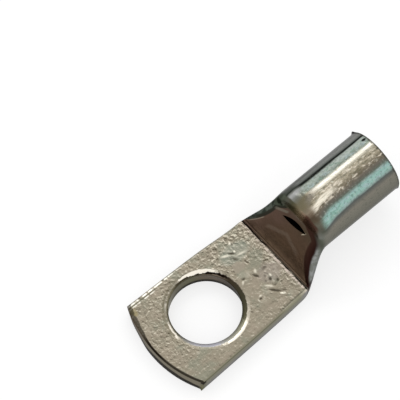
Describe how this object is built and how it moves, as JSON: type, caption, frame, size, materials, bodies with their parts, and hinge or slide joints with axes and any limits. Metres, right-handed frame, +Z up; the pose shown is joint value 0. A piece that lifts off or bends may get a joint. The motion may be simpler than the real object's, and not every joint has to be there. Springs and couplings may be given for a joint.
{
  "type": "cable lug",
  "caption": "Tinned copper tube lug: a round barrel for a stranded conductor, pressed at one end into a flat offset palm with a clearance hole for a stud.",
  "frame": {"origin": "axis of the stud hole, in the contact face of the palm", "axes": "+X along the barrel to its open mouth, +Z up from the contact face along the stud, +Y completes a right-handed frame"},
  "size_m": [0.0323, 0.0122, 0.0094],
  "materials": {
    "tinned_copper": "bright tin plating on copper, matt and grainy on the pressed palm"
  },
  "bodies": {
    "root": {"cable_lug": "tinned_copper"}
  },
  "joints": []
}
